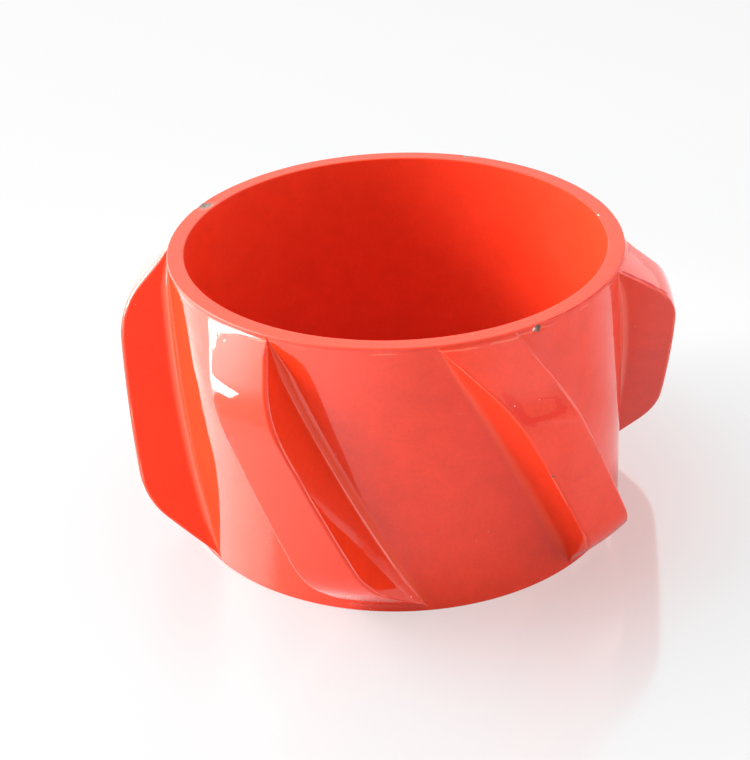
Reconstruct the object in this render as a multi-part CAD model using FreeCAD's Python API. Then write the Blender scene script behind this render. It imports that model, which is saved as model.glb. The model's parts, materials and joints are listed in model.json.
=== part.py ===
import FreeCAD, Part
import math
import os

from FreeCAD import Vector

# A rigid spiral-blade centralizer for drill pipe, in one casting: a plain
# sleeve that slips over the pipe, with six straight blades slanted round its
# outside. Millimetres. +Z is the axis of the bore, and the origin is the
# centre of the bottom end face, because the part stands on its end.

NODE = "spiral_blade_body"

# Sleeve
BORE_DIAMETER = 143.0        # slips over 5-1/2 inch pipe, 139.7 mm
WALL_THICKNESS = 6.0
SLEEVE_HEIGHT = 98.5
BORE_CHAMFER = 1.0           # lead-in at both ends of the bore
RIM_CHAMFER = 1.2            # at both ends of the outside

# Blades
BLADE_COUNT = 6
BLADE_HEIGHT = 18.25         # from the sleeve's outside to the crest
CREST_WIDTH = 21.0           # across a crest, in a level section
FLANK_DRAFT = 4.5            # degrees that each flank leans out to its root
BLADE_SLANT = 26.5           # degrees off the axis, slanted the left-hand way
EDGE_CHAMFER = 1.0           # along both edges of the ramps and the crest

# Lead-in ramps at both ends of a blade
RAMP_ANGLE = 45.0            # degrees between a ramp and the sleeve's wall
RAMP_SHOULDER_RADIUS = 20.0  # where a ramp turns into the crest
RAMP_FOOT_RADIUS = 5.0       # hollow curve from the sleeve's wall into a ramp
RAMP_FOOT_ANGLE = 15.0       # degrees off the wall where that curve starts
RAMP_FOOT_LAND = 0.3         # plain wall between the rim's chamfer and a ramp

bore_radius = BORE_DIAMETER / 2
sleeve_radius = bore_radius + WALL_THICKNESS
crest_radius = sleeve_radius + BLADE_HEIGHT
bore_chamfer = min(BORE_CHAMFER, 0.4 * WALL_THICKNESS)
rim_chamfer = min(RIM_CHAMFER, 0.4 * WALL_THICKNESS)
edge_chamfer = min(EDGE_CHAMFER, 0.2 * CREST_WIDTH, 0.2 * BLADE_HEIGHT)

# A blade is joined to the sleeve down to the middle of the wall.
root_radius = bore_radius + WALL_THICKNESS / 2

ramp_angle = math.radians(RAMP_ANGLE)
ramp_foot_angle = math.radians(RAMP_FOOT_ANGLE)
ramp_start = rim_chamfer + RAMP_FOOT_LAND

# The hollow foot lifts a ramp off the wall, and is limited by the blade.
foot_lift = math.cos(ramp_foot_angle) - math.cos(ramp_angle)
foot_climb = math.sin(ramp_angle) - math.sin(ramp_foot_angle)
foot_radius = min(RAMP_FOOT_RADIUS, 0.3 * BLADE_HEIGHT / foot_lift)
foot_end_radius = sleeve_radius + foot_radius * foot_lift
foot_end_height = ramp_start + foot_radius * foot_climb

# The shoulder's arc ends on the ramp and on the crest, so both limit it.
shoulder_drop = 1 - math.cos(ramp_angle)
ramp_rise = crest_radius - foot_end_radius
sharp_shoulder_height = foot_end_height + ramp_rise / math.tan(ramp_angle)
half_crest_length = SLEEVE_HEIGHT / 2 - sharp_shoulder_height
shoulder_radius = min(
    RAMP_SHOULDER_RADIUS,
    0.9 * ramp_rise / shoulder_drop,
    0.9 * half_crest_length / math.tan(ramp_angle / 2),
)
shoulder_height = sharp_shoulder_height + shoulder_radius * math.tan(ramp_angle / 2)

BORE_AXIS = Vector(0, 0, 1)
CENTRE = Vector(0, 0, 0)


def is_flank(face):
    """True for a blade's side: a flat face that isn't level."""
    return isinstance(face.Surface, Part.Plane) and abs(face.normalAt(0, 0).z) < 0.99


def middle_radius(edge):
    """How far the middle of an edge lies from the bore's axis."""
    middle = edge.valueAt((edge.FirstParameter + edge.LastParameter) / 2)
    return math.hypot(middle.x, middle.y)


def end_circles(tube, radius):
    """The circles of a tube that have this radius."""
    circles = [edge for edge in tube.Edges if isinstance(edge.Curve, Part.Circle)]
    return [edge for edge in circles if abs(edge.Curve.Radius - radius) < 1e-6]


def sleeve():
    """The tube, chamfered inside and outside at both ends."""
    outside = Part.makeCylinder(sleeve_radius, SLEEVE_HEIGHT)
    bore = Part.makeCylinder(bore_radius, SLEEVE_HEIGHT)
    tube = outside.cut(bore)
    tube = tube.makeChamfer(rim_chamfer, end_circles(tube, sleeve_radius))
    tube = tube.makeChamfer(bore_chamfer, end_circles(tube, bore_radius))

    # The cylinder's seam is turned into a channel, away from the blades.
    tube.rotate(CENTRE, BORE_AXIS, 180 / BLADE_COUNT)
    return tube


def blade_bar():
    """A straight bar with drafted sides, which crosses +X at mid height.

    Its level section is the same trapezoid all the way up, so that each flank
    is one flat plane. The bar is pushed sideways as it rises.
    """
    def half_width(x):
        return CREST_WIDTH / 2 + (crest_radius - x) * math.tan(math.radians(FLANK_DRAFT))

    sideways = SLEEVE_HEIGHT * math.tan(math.radians(BLADE_SLANT))
    inner_x = root_radius / 4
    outer_x = crest_radius + BLADE_HEIGHT
    outline = Part.makePolygon([
        Vector(inner_x, sideways / 2 - half_width(inner_x), 0),
        Vector(outer_x, sideways / 2 - half_width(outer_x), 0),
        Vector(outer_x, sideways / 2 + half_width(outer_x), 0),
        Vector(inner_x, sideways / 2 + half_width(inner_x), 0),
        Vector(inner_x, sideways / 2 - half_width(inner_x), 0),
    ])
    return Part.Face(outline).extrude(Vector(0, -sideways, SLEEVE_HEIGHT))


def ramp_curves():
    """The lower ramp in profile: hollow foot, straight ramp, round shoulder.

    Part of the envelope's outline, drawn at -X from the sleeve's wall up to
    the crest. Both arcs are placed by the angle of their tangent off the wall.
    """
    foot_centre_radius = sleeve_radius + foot_radius * math.cos(ramp_foot_angle)
    foot_centre_height = ramp_start - foot_radius * math.sin(ramp_foot_angle)

    def on_foot(angle):
        out = foot_centre_radius - foot_radius * math.cos(angle)
        return Vector(-out, 0, foot_centre_height + foot_radius * math.sin(angle))

    def on_shoulder(angle):
        out = crest_radius - shoulder_radius * (1 - math.cos(angle))
        return Vector(-out, 0, shoulder_height - shoulder_radius * math.sin(angle))

    foot_middle = on_foot((ramp_foot_angle + ramp_angle) / 2)
    foot = Part.Arc(on_foot(ramp_foot_angle), foot_middle, on_foot(ramp_angle))
    ramp = Part.LineSegment(on_foot(ramp_angle), on_shoulder(ramp_angle))
    shoulder = Part.Arc(on_shoulder(ramp_angle), on_shoulder(ramp_angle / 2), on_shoulder(0))
    return [foot.toShape(), ramp.toShape(), shoulder.toShape()]


def blade_envelope():
    """The turned shape that the blades fill: a crest with a ramp at each end.

    It is hollow from the middle of the sleeve's wall, and its outline is drawn
    at -X, so that its seam is opposite the blade that is cut from it.
    """
    def line(radius_a, height_a, radius_b, height_b):
        return Part.makeLine(Vector(-radius_a, 0, height_a), Vector(-radius_b, 0, height_b))

    middle = Vector(0, 0, SLEEVE_HEIGHT / 2)
    low_ramp = ramp_curves()
    high_ramp = [curve.mirror(middle, BORE_AXIS) for curve in low_ramp]
    low = ramp_start
    high = SLEEVE_HEIGHT - ramp_start
    crest = line(crest_radius, shoulder_height, crest_radius, SLEEVE_HEIGHT - shoulder_height)
    sides = [
        line(root_radius, low, sleeve_radius, low),
        line(sleeve_radius, high, root_radius, high),
        line(root_radius, high, root_radius, low),
    ]
    outline = Part.Wire(Part.__sortEdges__(low_ramp + high_ramp + [crest] + sides))
    return Part.Face(outline).revolve(CENTRE, BORE_AXIS, 360)


def blade():
    """One blade: the bar turned to the envelope, its outer edges chamfered."""
    solid = blade_bar().common(blade_envelope()).Solids[0]
    outer_edges = []
    for edge in solid.Edges:
        flanks = [is_flank(face) for face in solid.ancestorsOfType(edge, Part.Face)]
        if flanks.count(True) == 1 and middle_radius(edge) > sleeve_radius:
            outer_edges.append(edge)
    return solid.makeChamfer(edge_chamfer, outer_edges)


def spiral_blade_body():
    """The sleeve and its blades in one solid."""
    first_blade = blade()
    blades = []
    for number in range(BLADE_COUNT):
        turned_blade = first_blade.copy()
        turned_blade.rotate(CENTRE, BORE_AXIS, number * 360 / BLADE_COUNT)
        blades.append(turned_blade)
    return sleeve().multiFuse(blades).Solids[0]


os.makedirs("parts", exist_ok=True)
body = spiral_blade_body()
box = body.optimalBoundingBox(False)
print(NODE, "valid:", body.isValid(), "solids:", len(body.Solids))
print("volume cm3:", round(body.Volume / 1000, 1))
print("size mm:", round(box.XLength, 2), round(box.YLength, 2), round(box.ZLength, 2))
print("over the crests mm:", 2 * crest_radius, "shoulder radius mm:", round(shoulder_radius, 2))
body.exportStep("parts/" + NODE + ".step")
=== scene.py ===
# %% [markdown]
# # A spiral-blade drill pipe centralizer
#
# The real object is one iron casting: a short sleeve with six slanted blades
# round its outside, dipped in thick red-orange enamel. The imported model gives
# its exact size. This lesson builds the same form again as one clean mesh,
# with the soft edges, fillets and paint runs that a casting has, and then
# gives it its enamel.

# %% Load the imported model
import bpy
import bmesh
import json
import math
from mathutils import Matrix, Vector, noise
from mathutils.bvhtree import BVHTree


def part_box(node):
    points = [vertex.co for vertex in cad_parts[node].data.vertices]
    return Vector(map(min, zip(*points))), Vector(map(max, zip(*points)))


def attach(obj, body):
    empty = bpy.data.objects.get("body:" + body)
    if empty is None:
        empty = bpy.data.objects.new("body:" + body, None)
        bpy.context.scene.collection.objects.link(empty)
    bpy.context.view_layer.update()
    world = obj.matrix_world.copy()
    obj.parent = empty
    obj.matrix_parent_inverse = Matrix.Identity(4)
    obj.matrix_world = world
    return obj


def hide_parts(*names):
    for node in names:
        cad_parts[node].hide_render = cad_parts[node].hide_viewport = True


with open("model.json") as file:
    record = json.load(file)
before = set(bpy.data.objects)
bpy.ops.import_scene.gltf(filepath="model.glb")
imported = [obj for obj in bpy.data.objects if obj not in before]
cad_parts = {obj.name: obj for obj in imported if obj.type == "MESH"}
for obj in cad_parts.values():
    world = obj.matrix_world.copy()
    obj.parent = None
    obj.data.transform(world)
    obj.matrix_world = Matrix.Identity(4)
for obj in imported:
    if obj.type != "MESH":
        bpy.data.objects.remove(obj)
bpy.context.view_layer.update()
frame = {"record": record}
NODE = "spiral_blade_body"
high_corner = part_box(NODE)[1]

# %% [markdown]
# ## The camera
#
# The photograph looks down at the part from a little above. The camera is
# turned by three angles: its heading round the part, its dip below level and
# a slight roll. Its place is given in the same way, as a distance out and a
# height, so that the view can be checked against the real one by eye.

# %% The camera
CAMERA_HEADING = math.radians(7.2)      # how far the studio is turned round the part
CAMERA_OUT = 0.5972                     # metres, from the bore's axis
CAMERA_UP = 0.3787
CAMERA_SWING = math.radians(-0.83)      # off the line to the bore's axis
CAMERA_DIP = math.radians(29.23)
CAMERA_ROLL = math.radians(-2.24)
SENSOR_SIZE = 36.0                      # millimetres, as lenses are given
LENS_LENGTH = 91.9

studio_turn = Matrix.Rotation(-CAMERA_HEADING, 4, "Z")


def make_camera():
    """The camera, looking along +Y before the studio's turn."""
    data = bpy.data.cameras.new("camera")
    data.sensor_width = SENSOR_SIZE
    data.lens = LENS_LENGTH
    camera = bpy.data.objects.new("camera", data)
    bpy.context.scene.collection.objects.link(camera)
    ahead = Vector((
        math.sin(CAMERA_SWING) * math.cos(CAMERA_DIP),
        math.cos(CAMERA_SWING) * math.cos(CAMERA_DIP),
        -math.sin(CAMERA_DIP),
    ))
    level = Vector((math.cos(CAMERA_SWING), -math.sin(CAMERA_SWING), 0))
    upright = level.cross(ahead)
    right = math.cos(CAMERA_ROLL) * level + math.sin(CAMERA_ROLL) * upright
    up = math.cos(CAMERA_ROLL) * upright - math.sin(CAMERA_ROLL) * level
    axes = Matrix((right, up, -ahead)).transposed().to_4x4()
    place = Matrix.Translation((0, -CAMERA_OUT, CAMERA_UP))
    camera.matrix_world = studio_turn @ place @ axes
    bpy.context.scene.camera = camera
    return camera


camera = make_camera()
print("camera at, mm:", [round(1000 * value, 1) for value in camera.matrix_world.translation])

# %% [markdown]
# ## Sizes of the casting
#
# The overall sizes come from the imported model: its height, the radius over
# the blades and the radius of the bore. The rest are the casting's own
# details. Lengths are in metres, as everything in the scene is.

# %% Sizes of the casting
MM = 0.001
INSIDE_BOX = 0.25 * MM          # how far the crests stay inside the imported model's box
mounts = {mount["name"]: mount for mount in frame["record"]["mounts"]}
height = high_corner.z
crest_radius = high_corner.x - INSIDE_BOX
bore_radius = mounts["pipe_bore"]["dims"]["r_mm"] * MM
WALL = 6.0 * MM
sleeve_radius = bore_radius + WALL

BLADE_COUNT = 6
BLADE_HALF_WIDTH = 10.5 * MM
FLANK_DRAFT = math.radians(4.5)
BLADE_SLANT = math.radians(26.5)
RIM_ROUND = 0.55 * MM
BORE_ROUND = 0.6 * MM
ROOT_FILLET = 3.4 * MM
EDGE_ROUND = 1.6 * MM
RAMP_ANGLE = math.radians(45)

pitch = 2 * math.pi / BLADE_COUNT
print("blade height, mm:", round((crest_radius - sleeve_radius) / MM, 2))

# %% [markdown]
# ## How far a blade stands out at each height
#
# Seen from the side, a blade leaves the sleeve in a hollow curve, climbs a
# straight ramp at 45 degrees and turns over a round shoulder into the crest.
# The ends were ground by hand, so they aren't quite alike: the upper ramp
# starts right at the rim, and the lower one has a tighter shoulder.

# %% The profile of a blade
full_rise = crest_radius - sleeve_radius


class BladeEnd:
    """The run of a blade from one end of the casting to its crest."""

    def __init__(self, line_start, foot_round, shoulder_round):
        half_turn = math.tan(RAMP_ANGLE / 2)
        self.line_start, self.foot_round, self.shoulder_round = line_start, foot_round, shoulder_round
        self.foot_start = line_start - foot_round * half_turn
        self.foot_end = line_start + foot_round * half_turn * math.cos(RAMP_ANGLE)
        sharp_shoulder = line_start + full_rise / math.tan(RAMP_ANGLE)
        self.shoulder_start = sharp_shoulder - shoulder_round * half_turn * math.cos(RAMP_ANGLE)
        self.shoulder_end = sharp_shoulder + shoulder_round * half_turn

    def rise(self, from_end):
        if from_end <= self.foot_start:
            return 0.0
        if from_end < self.foot_end:
            climb = from_end - self.foot_start
            return self.foot_round - math.sqrt(self.foot_round ** 2 - climb ** 2)
        if from_end < self.shoulder_start:
            return (from_end - self.line_start) * math.tan(RAMP_ANGLE)
        if from_end < self.shoulder_end:
            short = self.shoulder_end - from_end
            return full_rise - self.shoulder_round + math.sqrt(self.shoulder_round ** 2 - short ** 2)
        return full_rise


lower_end = BladeEnd(line_start=2.4 * MM, foot_round=4.6 * MM, shoulder_round=19.0 * MM)
upper_end = BladeEnd(line_start=1.15 * MM, foot_round=2.7 * MM, shoulder_round=23.0 * MM)


def blade_rise(level):
    """How far a blade stands out of the sleeve at a height."""
    return min(lower_end.rise(level), upper_end.rise(height - level))


for name, end in (("lower", lower_end), ("upper", upper_end)):
    reach = [round(place / MM, 2) for place in (end.foot_start, end.shoulder_end)]
    print(name, "ramp, mm from the end:", reach)

# %% [markdown]
# ## One sixth of a level section
#
# At any height, a sixth of the outside is nine stretches: wall, root fillet,
# flank, edge rounding, crest, and the same back again. Each is a straight
# line or an arc, so its length is known, and a point can be placed at any
# distance along it. The fillets shrink with the blade where the ramps run out.

# %% Stretches of a section
THINNEST_RISE = 0.004 * MM
FILLET_SHARE = 0.30            # of the blade's height, where that is low
ROUNDING_SHARE = 0.36


class Arc:
    """A piece of a circle, from one angle to another."""

    def __init__(self, centre, radius, start, end):
        turn = (end - start + math.pi) % (2 * math.pi) - math.pi
        self.centre, self.radius, self.start, self.turn = centre, radius, start, turn
        self.length = abs(turn) * radius

    def point(self, share):
        angle = self.start + share * self.turn
        return self.centre + self.radius * Vector((math.cos(angle), math.sin(angle)))


class Line:
    """A straight stretch between two points."""

    def __init__(self, start, end):
        self.start, self.end = start, end
        self.length = (end - start).length

    def point(self, share):
        return self.start.lerp(self.end, share)


def angle_of(vector):
    return math.atan2(vector.y, vector.x)


def blade_offset(level):
    """How far the blade's middle plane has moved sideways at a height."""
    return (height / 2 - level) * math.tan(BLADE_SLANT)


def blade_heading(level):
    return math.asin(blade_offset(level) / sleeve_radius)


def half_blade(side, wall_radius, rise, level):
    """Root fillet, flank and edge rounding on one side, from the wall out."""
    fillet = min(ROOT_FILLET, FILLET_SHARE * rise)
    rounding = min(EDGE_ROUND, ROUNDING_SHARE * rise)
    out = Vector((math.sin(FLANK_DRAFT), side * math.cos(FLANK_DRAFT)))
    along = Vector((math.cos(FLANK_DRAFT), -side * math.sin(FLANK_DRAFT)))
    half_width = BLADE_HALF_WIDTH + crest_radius * math.tan(FLANK_DRAFT)
    reach = (side * blade_offset(level) + half_width) * math.cos(FLANK_DRAFT)
    top_radius = wall_radius + rise

    root_out = reach + fillet
    root_along = math.sqrt((wall_radius + fillet) ** 2 - root_out ** 2)
    root_centre = root_out * out + root_along * along
    edge_out = reach - rounding
    edge_along = math.sqrt((top_radius - rounding) ** 2 - edge_out ** 2)
    edge_centre = edge_out * out + edge_along * along

    root = Arc(root_centre, fillet, angle_of(-root_centre), angle_of(-out))
    flank = Line(root_centre - fillet * out, edge_centre + rounding * out)
    edge = Arc(edge_centre, rounding, angle_of(out), angle_of(edge_centre))
    return root, flank, edge


def turned_back(stretch):
    """The same stretch, run the other way."""
    if isinstance(stretch, Line):
        return Line(stretch.end, stretch.start)
    end = stretch.start + stretch.turn
    return Arc(stretch.centre, stretch.radius, end, stretch.start)


def section(wall_radius, rise, level):
    """The nine stretches of a sixth, in order round the sleeve."""
    heading = blade_heading(level)
    origin = Vector((0, 0))
    root_a, flank_a, edge_a = half_blade(-1, wall_radius, rise, level)
    root_b, flank_b, edge_b = half_blade(1, wall_radius, rise, level)
    wall_a = Arc(origin, wall_radius, heading - pitch / 2, angle_of(root_a.centre))
    crest = Arc(origin, wall_radius + rise, angle_of(edge_a.centre), angle_of(edge_b.centre))
    wall_b = Arc(origin, wall_radius, angle_of(root_b.centre), heading + pitch / 2)
    way_back = [turned_back(stretch) for stretch in (edge_b, flank_b, root_b)]
    return [wall_a, root_a, flank_a, edge_a, crest] + way_back + [wall_b]


middle_section = section(sleeve_radius, full_rise, height / 2)
print("stretches at mid height, mm:", [round(s.length / MM, 1) for s in middle_section])

# %% [markdown]
# ## Columns and rows of the mesh
#
# The mesh is a grid wrapped round the part. A fixed number of columns goes to
# each stretch, so an edge loop always runs along each fillet, which is what
# keeps the reflections in the gloss clean. Where a blade runs out on the
# wall, the columns spread smoothly instead of bunching into a point.

# %% Columns of the grid
WALL_COLUMNS = 22
ROOT_COLUMNS = 6
FLANK_COLUMNS = 10
EDGE_COLUMNS = 6
CREST_COLUMNS = 12
SPREAD_RISE = 2.5 * MM         # under this height of blade the columns start to spread
EASING = 0.6                   # 0 would space them evenly, 1 would let them touch at the ends
half_counts = [WALL_COLUMNS, ROOT_COLUMNS, FLANK_COLUMNS, EDGE_COLUMNS]
column_counts = half_counts + [CREST_COLUMNS] + half_counts[::-1]
column_count = sum(column_counts)


def eased(share):
    """Shares that lie closer together at both ends of a stretch."""
    return share - EASING * math.sin(2 * math.pi * share) / (2 * math.pi)


def column_distances(stretches):
    """How far along a section each column lies."""
    distances = [0.0]
    start = 0.0
    for stretch, count in zip(stretches, column_counts):
        for step in range(1, count + 1):
            distances.append(start + stretch.length * eased(step / count))
        start += stretch.length
    return distances


def point_along(stretches, distance):
    for stretch in stretches:
        if distance <= stretch.length:
            return stretch.point(distance / stretch.length)
        distance -= stretch.length
    return stretches[-1].point(1.0)


def spread_shares(wall_radius, level):
    """The columns' shares of a section where the blade is low."""
    distances = column_distances(section(wall_radius, SPREAD_RISE, level))
    return [distance / distances[-1] for distance in distances]


FAR_AWAY = 20.0          # millimetres, where no edge or root is near
LOW_RISE = 1.5 * MM      # under this height a blade has no edge to speak of


def line_distances(stretches, distances, rise):
    """How far each column lies from a blade's edge and from its root, in mm.

    The distance from an edge is positive on the crest and negative outside it.
    """
    starts = [0.0]
    for stretch in stretches:
        starts.append(starts[-1] + stretch.length)
    edges = ((starts[3] + starts[4]) / 2, (starts[5] + starts[6]) / 2)
    roots = ((starts[1] + starts[2]) / 2, (starts[7] + starts[8]) / 2)
    fade = FAR_AWAY * (1 - min(1.0, rise / LOW_RISE))
    from_edges, from_roots = [], []
    for distance in distances:
        inside = min(distance - edges[0], edges[1] - distance) / MM
        from_edges.append(inside + math.copysign(fade, inside))
        from_roots.append(min(abs(distance - root) for root in roots) / MM + fade)
    return from_edges, from_roots


def outside_row(wall_radius, level):
    """One row on the outside: its points, and their distances from edge and root."""
    rise = blade_rise(level)
    if rise < THINNEST_RISE:
        return ring_row(wall_radius, level)
    stretches = section(wall_radius, rise, level)
    distances = column_distances(stretches)
    if rise < SPREAD_RISE:
        share = rise / SPREAD_RISE
        share = share * share * (3 - 2 * share)     # a smooth step
        total = distances[-1]
        spread = [total * place for place in spread_shares(wall_radius, level)]
        distances = [s + (d - s) * share for s, d in zip(spread, distances)]
    points = [point_along(stretches, distance) for distance in distances]
    return points, *line_distances(stretches, distances, rise)


def ring_row(radius, level):
    """A row where there is no blade: all its points lie on a circle."""
    start = blade_heading(level) - pitch / 2
    angles = [start + pitch * share for share in spread_shares(sleeve_radius, level)]
    far = [FAR_AWAY] * len(angles)
    return [radius * Vector((math.cos(angle), math.sin(angle))) for angle in angles], far, far


print("columns in a sixth:", column_count)

# %% [markdown]
# The rows climb the outside, turn over the top rim, go down the bore and
# come back under the bottom rim, so the grid closes on itself like a tyre.
# They lie closer together where a ramp begins and where the rims are rounded.

# %% Rows of the grid
RIM_ROWS = 6
TOP_ROWS = 8
BORE_ROWS = 14
FOOT_ROW_STEP = 0.5 * MM
BODY_ROW_STEP = 0.98 * MM
FINE_REACH = 5.5 * MM          # the rows stay close this far from each end


def outside_levels():
    """Heights of the rows up the outside, from rounding to rounding."""
    levels = [RIM_ROUND]
    fine_end = FINE_REACH
    while levels[-1] < height / 2:
        step = FOOT_ROW_STEP if levels[-1] < fine_end else BODY_ROW_STEP
        levels.append(levels[-1] + step)
    stretch = (height / 2 - RIM_ROUND) / (levels[-1] - RIM_ROUND)
    lower = [RIM_ROUND + (level - RIM_ROUND) * stretch for level in levels]
    upper = [height - level for level in lower[-2::-1]]
    return lower + upper


def rounding(radius, count):
    """Steps of a quarter turn: how far in and how far down from the corner."""
    angles = [step / count * math.pi / 2 for step in range(1, count + 1)]
    return [(radius * (1 - math.cos(a)), radius * (1 - math.sin(a))) for a in angles]


def all_rows():
    """Every row of the grid, once round the wall, each with its points in 3-D."""
    rows = []

    def add(row, level):
        points, from_edges, from_roots = row
        placed = [Vector((point.x, point.y, level)) for point in points]
        rows.append((placed, from_edges, from_roots))

    for level in outside_levels():
        add(outside_row(sleeve_radius, level), level)
    for inward, down in rounding(RIM_ROUND, RIM_ROWS):
        level = height - down
        add(outside_row(sleeve_radius - inward, level), level)
    rim_in = sleeve_radius - RIM_ROUND
    rim_out = bore_radius + BORE_ROUND
    for step in range(1, TOP_ROWS + 1):
        add(ring_row(rim_in + (rim_out - rim_in) * step / TOP_ROWS, height), height)
    for inward, down in rounding(BORE_ROUND, RIM_ROWS)[::-1][1:]:
        add(ring_row(bore_radius + inward, height - down), height - down)
    add(ring_row(bore_radius, height - BORE_ROUND), height - BORE_ROUND)
    for step in range(1, BORE_ROWS + 1):
        level = height - BORE_ROUND - (height - 2 * BORE_ROUND) * step / BORE_ROWS
        add(ring_row(bore_radius, level), level)
    for inward, down in rounding(BORE_ROUND, RIM_ROWS):
        add(ring_row(bore_radius + inward, down), down)
    for step in range(1, TOP_ROWS + 1):
        add(ring_row(rim_out + (rim_in - rim_out) * step / TOP_ROWS, 0.0), 0.0)
    for inward, down in rounding(RIM_ROUND, RIM_ROWS)[::-1][1:]:
        add(outside_row(sleeve_radius - inward, down), down)
    rows.append(rows[0])
    return rows


rows = all_rows()
row_count = len(rows) - 1
print("rows:", row_count, "triangles:", 2 * row_count * column_count * BLADE_COUNT)

# %% [markdown]
# ## Wrapping the grid
#
# A flat grid has the right faces already. Each of its points only has to move
# to its place on the casting. Each point also keeps how far it lies from a
# blade's edge and root, so that the paint can change there later. The sixth
# is then copied round the axis, and the seams between the copies, and the one
# where the rows close, are welded.

# %% The casting's mesh
WELD = 0.004 * MM


def wrap_grid():
    """A sixth of the casting, from a flat grid."""
    sheet = bmesh.new()
    for name in ("edge_distance", "root_distance"):
        sheet.verts.layers.float.new(name)
    edge_layer = sheet.verts.layers.float["edge_distance"]
    root_layer = sheet.verts.layers.float["root_distance"]
    bmesh.ops.create_grid(sheet, x_segments=column_count, y_segments=row_count, size=1.0)
    for vert in sheet.verts:
        column = round((vert.co.x + 1) / 2 * column_count)
        points, from_edges, from_roots = rows[round((vert.co.y + 1) / 2 * row_count)]
        vert.co = points[column]
        vert[edge_layer] = from_edges[column]
        vert[root_layer] = from_roots[column]
    return sheet


def copy_round(sheet):
    """Copies the sixth round the axis and welds the seams."""
    first = sheet.verts[:] + sheet.edges[:] + sheet.faces[:]
    for number in range(1, BLADE_COUNT):
        copy = bmesh.ops.duplicate(sheet, geom=first)["geom"]
        verts = [item for item in copy if isinstance(item, bmesh.types.BMVert)]
        turn = Matrix.Rotation(number * pitch, 3, "Z")
        bmesh.ops.rotate(sheet, verts=verts, cent=(0, 0, 0), matrix=turn)
    bmesh.ops.remove_doubles(sheet, verts=sheet.verts[:], dist=WELD)
    bmesh.ops.recalc_face_normals(sheet, faces=sheet.faces[:])


casting = wrap_grid()
copy_round(casting)
open_edges = sum(1 for edge in casting.edges if len(edge.link_faces) != 2)
print("points:", len(casting.verts), "faces:", len(casting.faces), "open edges:", open_edges)

# %% [markdown]
# ## Relief of the cast skin and the paint
#
# A sand casting is never dead flat, and thick paint sags as it dries. Gloss
# shows both, as wavering edges in its reflections. Every point is pressed
# inwards a few hundredths of a millimetre by three sizes of noise: broad waves
# of the casting, upright sags of the paint and small dimples. Pressing only
# inwards keeps the part inside its real size.

# %% Waves, sags and dimples
RELIEF = {
    # across, up and depth, in millimetres
    "casting_waves": (17.0, 17.0, 0.090),
    "paint_sags": (4.2, 38.0, 0.032),
    "dimples": (3.6, 3.6, 0.018),
}
RELIEF_FADE = 2.0 * MM       # the relief dies out towards the standing face


def relief_depth(point):
    """How deep the skin is pressed in at a point."""
    depth = 0.0
    for across, up, amount in RELIEF.values():
        place = Vector((point.x / across, point.y / across, point.z / up)) / MM
        depth += amount * MM * (0.5 + 0.5 * noise.noise(place))
    return depth * min(1.0, point.z / RELIEF_FADE)


print("deepest the skin can be pressed, mm:", round(sum(amount for _, _, amount in RELIEF.values()), 3))

# %% [markdown]
# The paint draws back from the sharp rims and gathers just below them in a
# bead, which wanders and breaks. Here and there it ran down the wall before it
# set, and where the part was knocked a flake is gone, down to the bare iron.
# Such places are named by their heading round the part, in degrees counted
# from +X, and their height in millimetres. A ray from outside finds the skin
# there, so they lie on a wall or on a blade without any sums.

# %% Finding a place on the skin
skin = BVHTree.FromBMesh(casting)
RIM_LEVEL = height / MM
RAY_START = 200.0              # millimetres from the axis, well outside the blades
RIM_EDGE_DOWN, RIM_EDGE_IN = 0.2, 0.15


def around(heading, level, radius):
    """The point at a heading in degrees and a height and radius in millimetres."""
    angle = math.radians(heading)
    return Vector((radius * math.cos(angle), radius * math.sin(angle), level)) * MM


def on_skin(heading, level):
    """The outermost point of the skin at a heading and height."""
    outside = around(heading, level, RAY_START)
    inward = Vector((-outside.x, -outside.y, 0)).normalized()
    return skin.ray_cast(outside, inward)[0]


def on_rim(heading):
    """A point on the outer edge of the top rim."""
    return around(heading, RIM_LEVEL - RIM_EDGE_DOWN, sleeve_radius / MM - RIM_EDGE_IN)


print("skin at heading 0, mid height, mm:", round(on_skin(0, RIM_LEVEL / 2).x / MM, 2))

# %% Rim beads, runs and chips
BEAD_DOWN = 2.0 * MM         # from the end face to the middle of the bead
BEAD_WANDER = 0.5 * MM
BEAD_WANDER_SIZE = 8 * MM      # the length of one wave of its wandering
BEAD_BREAK_SIZE = 11 * MM      # and of the stretches where it is full or gone
BEAD_BREAK_PLACE = Vector((7, 3, 1))     # another part of the noise than the wandering's
BEAD_MEAN, BEAD_SWING = 0.4, 0.9
BEAD_HALF_WIDTH = 1.2 * MM
BEAD_HEIGHT = 0.06 * MM
RUN_HEIGHT = 0.22 * MM
RUN_TOP_SHARE = 0.35           # of that height, where a run starts
CHIP_DEPTH = 0.30 * MM
CHIP_RAGGED, CHIP_RAGGED_SIZE = 0.35, 1.1 * MM

CHIPS = {
    # where it starts and ends, and half its width in millimetres
    "rim_chip": (around(147.4, RIM_LEVEL, 75.5), around(143.4, RIM_LEVEL, 75.0), 2.5),
    "wall_chip": (on_skin(-63.8, 96.6), on_skin(-62.4, 97.2), 1.35),
    "crest_chip": (on_skin(118, 30.0), on_skin(119, 31.5), 1.0),
    "back_rim_chip": (around(61, RIM_LEVEL, 76.8), around(63, RIM_LEVEL, 76.2), 0.9),
}
RUNS = {
    # where it starts and ends, and half its width in millimetres
    "run_beside_blade": (on_skin(-32.2, 93), on_skin(-31.2, 77), 1.3),
    "left_run": (on_skin(-152, 92), on_skin(-151.5, 84), 1.4),
    "back_run": (on_skin(92, 94), on_skin(92, 74), 1.5),
    "short_back_run": (on_skin(41, 93), on_skin(41.5, 83), 1.3),
    "right_run": (on_skin(20, 95), on_skin(20, 86), 1.2),
}


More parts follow.
